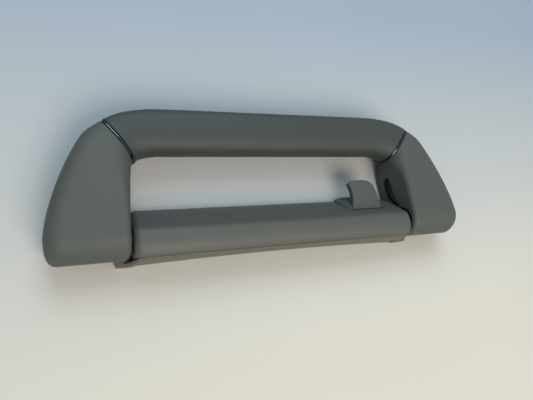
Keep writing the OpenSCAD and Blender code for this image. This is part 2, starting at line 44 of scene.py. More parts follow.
# Sizes in millimetres, after the part's source; the trim ring's grooves are a little finer here
half_len = 120.5
bow_rise = 64.5
grip_height = 24.9
grip_front = 25.0
grip_back = 4.4
leg_in = 83.0
leg_end_r = 12.4
leg_mid_z = 15.0
leg_lean = 3.9
grip_lean = -2.8
leg_back = 0.6
cover_wall = 2.3
trim_w = 0.6
trim_groove = 0.6
axis_y = -2.0
axis_z = 15.0
hub_r = 8.1
bar_gap = 0.6
bar_wall = 2.2
bar_end_r = 3.8
leg_front = leg_mid_z + leg_end_r
grip_low = bow_rise - grip_height
bar_half = leg_in - bar_gap
seam_half = trim_w / 2 + trim_groove


# Shapes: smooth curves through a few points, and skins over rows of sections
def smooth(rows, n):
    r = [np.array(row, float) for row in rows]
    out = []
    for i in range(len(r) - 1):
        a, b, c, d = r[max(i - 1, 0)], r[i], r[i + 1], r[min(i + 2, len(r) - 1)]
        for k in range(n):
            t = k / n
            out.append(0.5 * (2 * b + (c - a) * t + (2 * a - 5 * b + 4 * c - d) * t * t
                              + (3 * b - a - 3 * c + d) * t ** 3))
    out.append(r[-1])
    return out


def quarter(cx, cy, a, b, start, n):
    turn = [math.radians(start - 90 * k / n) for k in range(n + 1)]
    return [(cx + a * math.cos(t), cy + b * math.sin(t)) for t in turn]


def across(row):
    d = np.array([row[0] - row[2], row[1] - row[3]])
    return float(np.hypot(*d)), d / np.hypot(*d)


# A row holds the outer point (x, y), the inner point (x, y), the front and back z, then the
# roundings (along, deep) of the inner front, outer front, outer back and inner back corner, and
# last how far the inner wall leans towards the back
def section(row, n=10):
    w, e = across(row)
    front, back, lean = row[4], row[5], row[14]
    inner_front, outer_front, outer_back, inner_back = (row[i:i + 2] for i in (6, 8, 10, 12))
    flat = (quarter(inner_back[0], back + inner_back[1], *inner_back, 270, n)
            + quarter(inner_front[0], front - inner_front[1], *inner_front, 180, n)
            + quarter(w - outer_front[0], front - outer_front[1], *outer_front, 90, n)
            + quarter(w - outer_back[0], back + outer_back[1], *outer_back, 0, n))
    out = []
    for x, z in flat:
        d = x - lean * (front - z) / (front - back) * (1 - x / w)
        out.append((row[2] + e[0] * d, row[3] + e[1] * d, z))
    return np.array(out)


def inset(row, k):
    _, e = across(row)
    head = [row[0] - e[0] * k, row[1] - e[1] * k, row[2] + e[0] * k, row[3] + e[1] * k,
            row[4] - k, row[5] + k]
    return np.array(head + [max(v - k, 0.3) for v in row[6:14]] + [row[14]])


def along(row, s):
    _, e = across(row)
    moved = np.array(row, float)
    moved[[0, 2]] -= e[1] * s
    moved[[1, 3]] += e[0] * s
    return moved


def open_back(row, z):
    return np.concatenate([row[:5], [z], row[6:10], [0.2] * 4,
                           [row[14] * (row[4] - z) / (row[4] - row[5])]])


def skin(name, sections, flip=False):
    n, m = len(sections[0]), len(sections)
    verts = np.vstack(sections) * MM
    if flip:
        verts[:, 0] *= -1
    faces = [tuple(range(n)), tuple(range(m * n - 1, (m - 1) * n - 1, -1))]
    for j in range(m - 1):
        for i in range(n):
            k = (i + 1) % n
            faces.append((j * n + i, (j + 1) * n + i, (j + 1) * n + k, j * n + k))
    mesh = bpy.data.meshes.new(name)
    mesh.from_pydata([tuple(v) for v in verts], [], faces)
    mesh.validate()
    piece = bpy.data.objects.new(name, mesh)
    scene.collection.objects.link(piece)
    outward(piece)
    return piece


def outward(piece):
    bm = bmesh.new()
    bm.from_mesh(piece.data)
    bmesh.ops.remove_doubles(bm, verts=bm.verts, dist=1e-7)
    bmesh.ops.recalc_face_normals(bm, faces=bm.faces)
    bm.to_mesh(piece.data)
    bm.free()


def block(name, x, y, z):
    corners = [(x[0], y[0]), (x[1], y[0]), (x[1], y[1]), (x[0], y[1])]
    return skin(name, [np.array([(a, b, h) for a, b in corners]) for h in z])


def run_x(name, x0, x1, outline):
    return skin(name, [np.array([(x, y, z) for y, z in outline]) for x in (x0, x1)])


def rod_x(name, x0, x1, y, z, r, n=48):
    ring = [(y + r * math.cos(2 * math.pi * i / n), z + r * math.sin(2 * math.pi * i / n))
            for i in range(n)]
    return run_x(name, x0, x1, ring)


def combine(piece, tool, how):
    mod = piece.modifiers.new("cut", "BOOLEAN")
    mod.operation = how
    mod.solver = "EXACT"
    mod.object = tool
    bake(piece)
    bpy.data.objects.remove(tool)


def bake(piece):
    depsgraph = bpy.context.evaluated_depsgraph_get()
    depsgraph.update()
    made = bpy.data.meshes.new_from_object(piece.evaluated_get(depsgraph))
    piece.modifiers.clear()
    piece.data = made


def cut(piece, *tools):
    for tool in tools:
        combine(piece, tool, "DIFFERENCE")
    return piece


def join(piece, *tools):
    for tool in tools:
        combine(piece, tool, "UNION")
    return piece


def soft_shade(piece, angle=34):
    mesh = piece.data
    mesh.polygons.foreach_set("use_smooth", [True] * len(mesh.polygons))
    mesh.set_sharp_from_angle(angle=math.radians(angle))
    mesh.update()
    return piece


# Shader node groups
def new_group(name, inputs, outputs):
    group = bpy.data.node_groups.new(name, "ShaderNodeTree")
    for label, kind, value in inputs:
        sock = group.interface.new_socket(label, in_out="INPUT", socket_type=kind)
        if value is not None:
            sock.default_value = value
    for label, kind in outputs:
        group.interface.new_socket(label, in_out="OUTPUT", socket_type=kind)
    return group, group.nodes.new("NodeGroupInput"), group.nodes.new("NodeGroupOutput")


def math_node(tree, op, a, b=None, clamp=False):
    n = tree.nodes.new("ShaderNodeMath")
    n.operation = op
    n.use_clamp = clamp
    for i, v in enumerate((a, b)):
        if v is None:
            continue
        if isinstance(v, (int, float)):
            n.inputs[i].default_value = v
        else:
            tree.links.new(v, n.inputs[i])
    return n.outputs[0]


def noise(tree, coords, scale, detail=3.0, rough=0.5):
    n = tree.nodes.new("ShaderNodeTexNoise")
    n.inputs["Scale"].default_value = scale
    n.inputs["Detail"].default_value = detail
    n.inputs["Roughness"].default_value = rough
    tree.links.new(coords, n.inputs["Vector"])
    return n.outputs["Fac"]


def grain_group():
    g, i, o = new_group("fine grain", [
        ("Vector", "NodeSocketVector", None), ("Size", "NodeSocketFloat", 2600.0)],
        [("Height", "NodeSocketFloat"), ("Mottle", "NodeSocketFloat")])
    cell = g.nodes.new("ShaderNodeTexVoronoi")
    cell.feature = "SMOOTH_F1"
    cell.inputs["Smoothness"].default_value = 0.6
    g.links.new(i.outputs["Vector"], cell.inputs["Vector"])
    g.links.new(i.outputs["Size"], cell.inputs["Scale"])
    fine = g.nodes.new("ShaderNodeTexNoise")
    fine.inputs["Detail"].default_value = 2.0
    g.links.new(i.outputs["Vector"], fine.inputs["Vector"])
    g.links.new(math_node(g, "MULTIPLY", i.outputs["Size"], 0.7), fine.inputs["Scale"])
    g.links.new(math_node(g, "ADD", math_node(g, "MULTIPLY", cell.outputs["Distance"], 0.6),
                          fine.outputs["Fac"]), o.inputs["Height"])
    wide = noise(g, i.outputs["Vector"], 55.0, 4.0, 0.55)
    g.links.new(wide, o.inputs["Mottle"])
    return g


def wear_group():
    g, i, o = new_group("edge wear", [
        ("Vector", "NodeSocketVector", None), ("Amount", "NodeSocketFloat", 0.5)],
        [("Mask", "NodeSocketFloat")])
    geo = g.nodes.new("ShaderNodeNewGeometry")
    ramp = g.nodes.new("ShaderNodeMapRange")
    ramp.inputs["From Min"].default_value = 0.52
    ramp.inputs["From Max"].default_value = 0.62
    g.links.new(geo.outputs["Pointiness"], ramp.inputs["Value"])
    patch = noise(g, i.outputs["Vector"], 240.0, 4.0, 0.6)
    g.links.new(math_node(g, "MULTIPLY", math_node(g, "MULTIPLY", ramp.outputs["Result"], patch),
                          i.outputs["Amount"], clamp=True), o.inputs["Mask"])
    return g


GRAIN = grain_group()
WEAR = wear_group()


def srgb(r, g, b):
    out = []
    for v in (r, g, b):
        v /= 255.0
        out.append(v / 12.92 if v <= 0.04045 else ((v + 0.055) / 1.055) ** 2.4)
    return tuple(out) + (1.0,)


def mix_colour(tree, fac, a, b):
    n = tree.nodes.new("ShaderNodeMix")
    n.data_type = "RGBA"
    tree.links.new(fac, n.inputs[0])
    for sock, v in ((n.inputs[6], a), (n.inputs[7], b)):
        if isinstance(v, tuple):
            sock.default_value = v
        else:
            tree.links.new(v, sock)
    return n.outputs[2]


SPECK_COLOUR = (0.012, 0.012, 0.011, 1.0)


# One recipe for every finish; specks are (x, y, z, radius) in millimetres
def moulded(name, colour, tint, rough=0.6, grain=2600.0, bump=0.12, wear=0.3, worn=None,
            metallic=0.0, specks=()):
    mat = bpy.data.materials.new(name)
    mat.use_nodes = True
    t = mat.node_tree
    bsdf = t.nodes["Principled BSDF"]
    coords = t.nodes.new("ShaderNodeTexCoord").outputs["Object"]
    g = t.nodes.new("ShaderNodeGroup")
    g.node_tree = GRAIN
    g.inputs["Size"].default_value = grain
    t.links.new(coords, g.inputs["Vector"])
    w = t.nodes.new("ShaderNodeGroup")
    w.node_tree = WEAR
    w.inputs["Amount"].default_value = wear
    t.links.new(coords, w.inputs["Vector"])
    base = mix_colour(t, g.outputs["Mottle"], colour, tint)
    lighter = tuple(min(1.0, c * 1.5) for c in colour)
    base = mix_colour(t, w.outputs["Mask"], base, worn or lighter)
    for x, y, z, r in specks:
        d = t.nodes.new("ShaderNodeVectorMath")
        d.operation = "DISTANCE"
        t.links.new(coords, d.inputs[0])
        d.inputs[1].default_value = (x * MM, y * MM, z * MM)
        spot = t.nodes.new("ShaderNodeMapRange")
        spot.inputs["From Min"].default_value = r * MM
        spot.inputs["From Max"].default_value = r * 0.4 * MM
        t.links.new(d.outputs["Value"], spot.inputs["Value"])
        base = mix_colour(t, math_node(t, "MULTIPLY", spot.outputs["Result"], 0.75), base,
                          SPECK_COLOUR)
    t.links.new(base, bsdf.inputs["Base Color"])
    r = math_node(t, "ADD", math_node(t, "MULTIPLY", g.outputs["Mottle"], 0.16), rough - 0.08)
    t.links.new(r, bsdf.inputs["Roughness"])
    bsdf.inputs["Metallic"].default_value = metallic
    b = t.nodes.new("ShaderNodeBump")
    b.inputs["Strength"].default_value = bump
    b.inputs["Distance"].default_value = 0.0004
    t.links.new(g.outputs["Height"], b.inputs["Height"])
    t.links.new(b.outputs["Normal"], bsdf.inputs["Normal"])
    return mat


shell = moulded("grained grey plastic", srgb(70, 75, 72), srgb(74, 79, 76), rough=0.62,
                specks=((-100.9, 30.3, 26.9, 0.6), (-90.1, -11.3, 20.1, 0.5)))
hook_shell = moulded("grained grey plastic of the hook", srgb(71, 75, 71), srgb(76, 79, 75),
                     rough=0.6)
grip_shell = moulded("soft grey plastic of the grip", srgb(49, 57, 55), srgb(53, 60, 58),
                     rough=0.6)
bar_shell = moulded("grained grey plastic of the bar", srgb(76, 79, 75), srgb(81, 83, 79),
                    rough=0.58, specks=((-49.2, 3, 21.3, 0.7), (-34.4, -1, 24.7, 0.6)))
carrier = moulded("carrier plastic", srgb(93, 92, 81), srgb(98, 96, 85), rough=0.6)
# Near-black painted shade, put on the covers' hollow insides and slot walls and on the trim ring's
# sunk collar and bore
painted_recess_shade = moulded("near-black painted recess shade", srgb(14, 15, 16), srgb(20, 21, 22), rough=0.5)
core_plastic = moulded("glass-filled black plastic", srgb(22, 23, 23), srgb(30, 31, 31),
                       rough=0.55, grain=1500.0, bump=0.25)
# Painted reflection: the chrome's colour is darkened to stand in for the dark room it reflects
chrome = moulded("chrome darkened as a painted dark reflection", srgb(92, 98, 106), srgb(82, 88, 96), rough=0.2,
                 bump=0.01, metallic=1.0, wear=0.1)
steel = moulded("zinc-plated steel", srgb(176, 178, 182), srgb(160, 163, 170), rough=0.34,
                bump=0.03, metallic=1.0)
natural = moulded("natural bearing plastic", srgb(222, 216, 200), srgb(212, 205, 186),
                  rough=0.42, bump=0.03)
damper_black = moulded("smooth black plastic", srgb(44, 45, 47), srgb(54, 55, 57), rough=0.35,
                       bump=0.03)
bush_black = moulded("black bearing plastic", srgb(16, 17, 18), srgb(22, 23, 24), rough=0.5,
                     bump=0.03)
rubber = moulded("black rubber", srgb(34, 34, 34), srgb(46, 46, 45), rough=0.8, bump=0.2)


# A piece with an outside and an inside of near-black painted shade already carries its materials
def dress(piece, mat, body, nodes):
    if mat:
        piece.data.materials.clear()
        piece.data.materials.append(mat)
    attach(piece, body)
    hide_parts(*nodes)


# Bow: rows of sections from the leg's round end up to the middle of the grip
end_bulge = 1.5
end_round_out = 4.8
end_round_in = 4


# How far an end corner of radius rc is cut back at height y of a leg end of radius r
def corner_cut(y, r, rc):
    d = max(rc - r - y, 0)
    return rc - math.sqrt(max(rc * rc - d * d, 0))


def end_row(turn, k):
    r = leg_end_r - k
    y, h = -r * math.cos(turn), r * math.sin(turn)
    return np.array([half_len - k - end_bulge * (y / r) ** 2 - corner_cut(y, r, end_round_out - k),
                     y, leg_in + k + corner_cut(y, r, end_round_in - k), y,
                     leg_mid_z + h, leg_mid_z - h,
                     3 - min(k, 2), min(3 - min(k, 2), h), 8 - k, min(8 - k, h),
                     1, min(1, h), 1, min(1, h), 0])


def end_rows(k, n=22):
    return [end_row(math.radians(5 + 85 * (i / n) ** 0.8), k) for i in range(n)]


back_low = leg_mid_z - leg_end_r
leg_rows = [
    [half_len, 0, leg_in, 0, leg_front, back_low, 3, 3, 8, 8, 1, 1, 1, 1, 0],
    [half_len - 1.2, 8.2, leg_in, 7.5, leg_front, 1.6, 3, 3, 8, 8, 1, 1, 1, 1, 0.3 * leg_lean],
    [half_len - 3.5, 17.5, leg_in, 15, leg_front - 0.1, leg_back, 3, 3, 8, 8, 1, 1, 1, 1,
     0.66 * leg_lean],
    [half_len - 7.2, 28.4, leg_in, grip_low - 16, leg_front - 0.4, leg_back,
     4, 4, 8, 7.5, 1.4, 1.4, 1.2, 1.2, 0.8 * leg_lean],
    [half_len - 12.3, bow_rise - 24.4, leg_in - 0.2, grip_low - 10.4, leg_front - 0.8, leg_back,
     6, 5, 7.5, 7, 2.4, 2.4, 2, 2, 0.9 * leg_lean],
    [half_len - 18.3, bow_rise - 14.2, leg_in - 1.8, grip_low - 5.7, leg_front - 1.2,
     leg_back + 0.5, 9, 7.5, 7, 6, 4, 3.8, 6, 6, 0.6 * leg_lean],
]
seam_row = [half_len - 26.6, bow_rise - 7.6, leg_in - 3.8, grip_low - 1.6, leg_front - 1.9,
            leg_back + 1.4, 12, 9.5, 6, 5, 6.4, 5.8, 10.5, 10.5, 0.35 * leg_lean]
grip_rows = [
    [half_len - 35.6, bow_rise - 3, leg_in - 7.6, grip_low - 0.7, grip_front + 0.2,
     grip_back - 0.6, 14, 10, 6, 5, 8.6, 7.4, 9.4, 9, grip_lean / 2],
    [half_len - 46.5, bow_rise - 0.7, leg_in - 15, grip_low - 0.1, grip_front, grip_back,
     15, 10, 6, 5, 9.6, 8, 9.6, 8, grip_lean],
    [half_len - 60, bow_rise, leg_in - 26, grip_low, grip_front, grip_back,
     15, 10, 6, 5, 10, 8, 10, 8, grip_lean],
    [0, bow_rise, 0, grip_low, grip_front, grip_back, 15, 10, 6, 5, 10, 8, 10, 8, grip_lean],
]


OUTSIDE, SHADED_INSIDE = 0, 1


# Gives every face of a piece either its outer finish or the near-black painted shade
def finish_or_painted_shade(piece, outside, index):
    for mat in (outside, painted_recess_shade):
        piece.data.materials.append(mat)
    piece.data.polygons.foreach_set("material_index", [index] * len(piece.data.polygons))
    return piece


def seam_edge(side):
    return [inset(along(seam_row, side * (seam_half + 0.15)), 0.08),
            inset(along(seam_row, side * seam_half), 0.35)]


def leg_cover(name, flip):
    rows = end_rows(0) + smooth(leg_rows + [along(seam_row, -seam_half - 0.5)], 8)
    rows += seam_edge(-1)
    piece = finish_or_painted_shade(skin(name, [section(r) for r in rows]), shell, OUTSIDE)
    k = cover_wall
    hollow = end_rows(k, 12) + [inset(r, k) for r in smooth(
        leg_rows + [along(seam_row, -seam_half)], 4)]
    hollow.append(along(hollow[-1], 2))
    through = (leg_in - 6, leg_in + k + 1)
    slot = smooth([(27.3, 11.4), (25.8, 7.6), (20.5, 6.8), (14.1, 7.8), (9.9, 10.8), (7, 14.6),
                   (8, 15.4), (13.8, 13.4), (20.7, 12.8), (27.3, 11.4)], 4)[:-1]
    # The hollow inside and the slot walls take the near-black painted shade
    cut(piece,
        finish_or_painted_shade(skin("hollow", [section(open_back(r, -5), 6) for r in hollow]), shell, SHADED_INSIDE),
        rod_x("hub", *through, axis_y, axis_z, hub_r),
        block("hub_back", through, (axis_y - hub_r, axis_y + hub_r), (-1, axis_z)),
        finish_or_painted_shade(run_x("slot", *through, slot), shell, SHADED_INSIDE))
    if flip:
        mirror_x(piece)
    return soft_shade(piece)


def mirror_x(piece):
    piece.data.transform(Matrix.Scale(-1, 4, (1, 0, 0)))
    piece.data.flip_normals()


def trim_ring(name, flip):
    def hoop(label, places):
        return skin(label, [section(inset(along(seam_row, s), k), 12) for s, k in places])

    edge, bevel, sunk, deep, bore = trim_w / 2, 0.12, 0.15, 1.6, 3.4
    bright = finish_or_painted_shade(hoop(name, (
        (-edge, sunk + bevel), (-edge + bevel, sunk), (edge - bevel, sunk), (edge, sunk + bevel))),
        chrome, OUTSIDE)
    # The sunk collar and the bore take the near-black painted shade, which darkens the seam grooves
    # on both sides of the bright band
    collar = hoop("collar", ((-seam_half, deep), (seam_half, deep)))
    join(bright, finish_or_painted_shade(collar, chrome, SHADED_INSIDE))
    cut(bright, finish_or_painted_shade(hoop("bore", ((-3, bore), (3, bore))), chrome, SHADED_INSIDE))
    if flip:
        mirror_x(bright)
    return soft_shade(bright)


def grip_sleeve():
    half = smooth([along(seam_row, seam_half + 0.5)] + grip_rows, 10)
    right = [section(r, 12) for r in seam_edge(1)[::-1] + half]
    left = [s * np.array([-1, 1, 1]) for s in right[-2::-1]]
    return soft_shade(skin("grip_sleeve", right + left))


for side, flip in (("right", False), ("left", True)):
    dress(leg_cover(side + "_leg_cover", flip), None, "bow", [side + "_end_cover"])
    dress(trim_ring(side + "_bright_ring", flip), None, "bow", [side + "_trim_ring"])
dress(grip_sleeve(), grip_shell, "bow", ["grip"])


# Bar: a shell with a flat top face, a rounded front and a waist in the middle
bar_top = 14.8
bar_nose = 25.1
bar_short = 0.35
bar_waist = 0.7
clip_start, clip_step, clip_row = -30, 18, 42
low_edge = (-12.6, 21.3)


def soft_corner(a, p, b, r, n):
    a, p, b = (np.array(v, float) for v in (a, p, b))
    s = p + (a - p) / np.linalg.norm(a - p) * r
    e = p + (b - p) / np.linalg.norm(b - p) * r
    return [(1 - t) ** 2 * s + 2 * t * (1 - t) * p + t * t * e
            for t in (i / n for i in range(n + 1))]


# The crease between top and front is sharp at the left end and softer from the middle on
def bar_outline(x, k):
    f = min(max((x + 78) / 70, 0), 1)
    crease = (bar_top - 10.8, 20.6)
    top = smooth([(bar_top, 0.6), (bar_top - 0.3, 3.6), (bar_top - 4, 10.4),
                  (bar_top - 7.8, 15.9)], 4)
    nose = smooth([crease, (0.7, bar_nose - 1.1), (-3.4, bar_nose), (-7.9, bar_nose - 0.6),
                   (-11.4, low_edge[1] + 1.4), low_edge], 6)
    pts = (top + soft_corner(top[-1], crease, nose[4], 0.7 + 1.6 * f, 6) + nose[4:-3]
           + soft_corner(nose[-4], low_edge, (low_edge[0], 18), 0.5, 4) + [(low_edge[0], 0.6)])
    out = []
    for y, z in pts:
        cy, cz = min(max(y, -9), 2), min(max(z, 0.6), 17)
        d = math.hypot(cy - y, cz - z) or 1
        y, z = y + k * (cy - y) / d, z + k * (cz - z) / d
        g = min(max((z - 8) / 12, 0), 1)
        out.append((x, y - bar_waist * (1 - (x / bar_half) ** 2) * g * (0.5 + 0.07 * y), z))
    return np.array(out)


hook_w, hook_h, hook_t = 21.4, 18.4, 3.8
hook_x1 = bar_half - 14.6
hook_x0 = hook_x1 - hook_w
hook_tail = 4.4
hook_seat = 6.3
hook_z0, hook_z1 = 3.4, 16.6


def bar_cover():
    turn = [math.radians(90 * i / 10) for i in range(11)]
    reach = bar_half - bar_short
    ends = [(reach - bar_end_r * (1 - math.sin(a)), bar_end_r * (1 - math.cos(a))) for a in turn]
    flat = reach - bar_end_r
    rows = [(-x, k) for x, k in ends[:0:-1]]
    rows += [(flat * (2 * i / 28 - 1), 0) for i in range(29)] + ends[1:]
    piece = skin("bar_shell", [bar_outline(x, k) for x, k in rows])
    inner = [(y * 0.86 - 0.4, z - 2.2) for _, y, z in bar_outline(0, 0)[:-5]]
    cut(piece, run_x("inside", -bar_half + bar_wall, bar_half - bar_wall,
                     [(inner[0][0], -1)] + inner[1:] + [(-13.4, 20.9), (-14.1, -1)]),
        rod_x("pin_hole", -bar_half - 1, bar_half + 1, axis_y, axis_z, 4.1),
        skin("hook_slot", [np.array([(x, y, z) for x, z in (
            (hook_x0 - hook_tail - 0.1, -1.7), (hook_x0 - hook_tail - 0.1, 12.5),
            (hook_x0 - 1.5, hook_z1 + 0.9), (hook_x1 + 0.2, hook_z1 + 0.9),
            (hook_x1 + 0.2, -1.7))]) for y in (hook_seat - 2, 30)]))
    for x in (clip_start, clip_start + clip_step,
              clip_start + clip_row, clip_start + clip_row + clip_step):
        join(piece, block("tongue", (x - 3, x + 3), (-0.8, 0.8), (7, 23.6)))
    return soft_shade(piece, 30)


# Coat hook: a fin on a saddle
def fin_outline(k):
    w, h = hook_w - k, hook_h - k
    left = smooth([(k, 0), (1 + k, 0.2 * hook_h), (1.6 + k, 0.4 * hook_h),
                   (1.7 + k, 0.58 * hook_h), (1.3 + k, 0.73 * hook_h), (0.2 + k, hook_h - 2.4)], 5)
    right = smooth([(1.5, h - 1), (3.6, h - 0.3), (8, h), (w - 8, h - 0.3), (w - 4.4, h - 1.9),
                    (w - 2.7, h - 4.6), (w - 1.4, 0.5 * hook_h), (w - 0.6, 0.25 * hook_h),
                    (w, 0)], 5)
    return left + right


def coat_hook():
    edge_r = 0.9
    rows = [(hook_z1 - edge_r * (1 - math.cos(a)), edge_r * (1 - math.sin(a)))
            for a in (math.radians(15 * i) for i in range(7))]
    rows += [(hook_z1 - 0.7 * hook_t, 0), (hook_z1 - hook_t + 0.5, 0),
             (hook_z1 - hook_t + 0.15, 0.15), (hook_z1 - hook_t, 0.5)]
    fin = skin("coat_hook_fin", [
        np.array([(hook_x0 + x, hook_seat + y, z) for x, y in fin_outline(k)]) for z, k in rows])
    saddle = smooth([(hook_z1 - 0.3, 1.2, 0.9), (hook_z1 - 2.8, 3.1, 3.8), (10.2, 4.1, 7),
                     (8, hook_tail, 8.4), (hook_z0 + 0.5, hook_tail, 10.7),
                     (hook_z0, hook_tail - 0.4, 10.4)], 4)
    skins = []
    for z, left, h in saddle:
        x, f = hook_x0 - left, min(1, h / 5)
        top = smooth([(x, h - 1.7 * f), (x + 1.4, h - 1.1 * f), (x + 3.4, h - 0.5 * f),
                      (x + 6.8, h)], 4)
        skins.append(np.array([(a, hook_seat + b, z) for a, b in
                               [(x, 0)] + [tuple(q) for q in top]
                               + [(hook_x1 - 0.4, h), (hook_x1 - 0.4, 0)]]))
    join(fin, skin("saddle", skins))
    return soft_shade(fin, 40)


# Carrier: the part's own ribbed tray, with a finer lip and tabs along its front
lip_y = -14.1
lip_in = -12.7
lip_top = 21.1
lip_arch = 1.3
tab_len = 7.1
tab_h = 5.2


def turned_corner(cx, cz, r, start, n=6):
    return [(cx + r * math.cos(math.radians(start + 90 * i / n)),
             cz + r * math.sin(math.radians(start + 90 * i / n))) for i in range(n + 1)]


# The lip's foot is arched, and its ends sink to the height of the tabs
def lip_row(x):
    foot = lip_y + 0.5 + lip_arch * (1 - (x / bar_half) ** 2)
    top = float(np.interp(abs(x), [77, 79, 80.5, 82.3, 83.2, 84.5, 86],
                          [lip_top, 20.7, 18.6, 13, 9.3, 6.6, 5.3]))
    face = [(foot + 0.25, 0), (foot, 0.3), (lip_y + 0.05, top - 4.6)]
    face += smooth([(lip_y, top - 4), (lip_y + 0.1, top - 2.9), (lip_y + 0.5, top - 1.5),
                    (lip_in, top)], 3)
    back = lip_in + (1.6 if abs(x) < 79.6 else 0)
    return np.array([(x, y, z) for y, z in face + [(lip_in, lip_top - 16), (back, 0)]])


def carrier_tray():
    piece = bpy.data.objects.new("carrier_tray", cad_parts["base_carrier"].data.copy())
    piece.data.materials.clear()
    scene.collection.objects.link(piece)
    outward(piece)
    cut(piece, block("old_lip", (-100, 100), (-20, -12.2), (-5, 17)),
        block("old_tabs", (bar_half + 0.05, 100), (-20, 0), (-5, 17)),
        block("old_tabs", (-100, -bar_half - 0.05), (-20, 0), (-5, 17)),
        block("old_edge", (-100, 100), (-20, lip_in), (15, 30)))
    ends = [77.6, 78.6, 79.5, 80.3, 81, 81.7, 82.3, 82.8, 83.3, 83.9, 84.6, 85.3, 86]
    xs = [-x for x in ends[::-1]] + [76.5 * (i / 12 - 1) for i in range(25)] + ends
    join(piece, skin("lip", [lip_row(x) for x in xs]))
    for s in (-1, 1):
        x0, x1 = bar_half - 1.6, bar_half + tab_len
        outline = [(s * x, y) for x, y in [(x0, lip_y + 0.05)] + turned_corner(
            x1 - 0.8, lip_y + 0.85, 0.8, -90) + [(x1, -8.6), (bar_half + 0.1, -8.6),
                                                 (bar_half + 0.1, lip_in), (x0, lip_in)]]
        tab = skin("tab", [np.array([(x, y, z) for x, y in outline]) for z in (0, tab_h)])
        cut(tab, rod_x("swing_room", -100, 100, 0, leg_mid_z, leg_end_r + 0.5))
        join(piece, tab)
    return soft_shade(piece, 30)


# Small parts that repeat: one is shaped from listed points, and the tree sets out the rest
def repeat_tree():
    tree = bpy.data.node_groups.new("set out in rows", "GeometryNodeTree")
    face = tree.interface
    face.new_socket("One", in_out="INPUT", socket_type="NodeSocketGeometry")
    keys = {}
    for label, kind in (("Start", "NodeSocketVector"), ("Count", "NodeSocketInt"),
                        ("Step", "NodeSocketVector"), ("Rows", "NodeSocketInt"),
                        ("Row Step", "NodeSocketVector"), ("Finish", "NodeSocketMaterial")):
        keys[label] = face.new_socket(label, in_out="INPUT", socket_type=kind).identifier
    face.new_socket("All", in_out="OUTPUT", socket_type="NodeSocketGeometry")
    i, o = tree.nodes.new("NodeGroupInput"), tree.nodes.new("NodeGroupOutput")
    made = i.outputs["One"]
    for count, step in (("Count", "Step"), ("Rows", "Row Step")):
        line = tree.nodes.new("GeometryNodeMeshLine")
        line.mode = "OFFSET"
        tree.links.new(i.outputs[count], line.inputs["Count"])
        tree.links.new(i.outputs[step], line.inputs["Offset"])
        if count == "Rows":
            tree.links.new(i.outputs["Start"], line.inputs["Start Location"])
        spread = tree.nodes.new("GeometryNodeInstanceOnPoints")
        tree.links.new(line.outputs["Mesh"], spread.inputs["Points"])
        tree.links.new(made, spread.inputs["Instance"])
        made = spread.outputs["Instances"]
    real = tree.nodes.new("GeometryNodeRealizeInstances")
    paint = tree.nodes.new("GeometryNodeSetMaterial")
    tree.links.new(made, real.inputs[0])
    tree.links.new(real.outputs[0], paint.inputs["Geometry"])
    tree.links.new(i.outputs["Finish"], paint.inputs["Material"])
    tree.links.new(paint.outputs[0], o.inputs["All"])
    return tree, keys


REPEAT, REPEAT_KEYS = repeat_tree()


def set_out(piece, mat, start, count, step, rows=1, row_step=(0, 0, 0)):
    soft_shade(piece, 30)
    mod = piece.modifiers.new("set out", "NODES")
    mod.node_group = REPEAT
    for label, value in (("Start", [v * MM for v in start]), ("Count", count),
                         ("Step", [v * MM for v in step]), ("Rows", rows),
                         ("Row Step", [v * MM for v in row_step]), ("Finish", mat)):
        mod[REPEAT_KEYS[label]] = value
    bake(piece)
    return piece


def turned(name, profile, n=32):
    turns = [2 * math.pi * i / n for i in range(n)]
    return skin(name, [np.array([(r * math.cos(a), r * math.sin(a), z) for a in turns])
                       for r, z in profile])


def cover_screw():
    screw = turned("cover_screws", [(2.1, 0), (2.6, 0.15), (2.9, 0.5), (3, 1), (3, 2),
                                    (1.55, 2.05), (1.4, 2.3), (1.4, 13.6), (0.9, 14)])
    return cut(screw, block("slot_a", (-1.9, 1.9), (-0.35, 0.35), (-1, 1.1)),
               block("slot_b", (-0.35, 0.35), (-1.9, 1.9), (-1, 1.1)))


def bump_pad():
    return turned("grip_pads", [(2.3, 0), (2.75, 0.15), (3, 0.55), (3, 3.9), (2.8, 4.38),
                                (1.2, 4.38), (1.2, 6.6), (0.8, 6.95)])


def mount_sleeve():
    sleeve = turned("mount_tubes", [(3.95, 0), (4.25, 0.3), (4.25, 8.7), (3.95, 9)], 48)
    return cut(sleeve, turned("bore", [(3.2, -0.1), (2.75, 0.35), (2.75, 8.65), (3.2, 9.1)], 48))


def cover_clip():
    inner, outer = 0.82, 1.6
    side = smooth([(outer, 11.6), (outer, 4.2), (1.3, 3.0), (0.8, 2.62)], 3)
    outline = [tuple(q) for q in side] + [(-y, z) for y, z in side[::-1]]
    outline += [(-inner, 11.4), (-inner, 3.5), (inner, 3.5), (inner, 11.4)]
    return run_x("cover_spring_clips", -3.5, 3.5, outline)


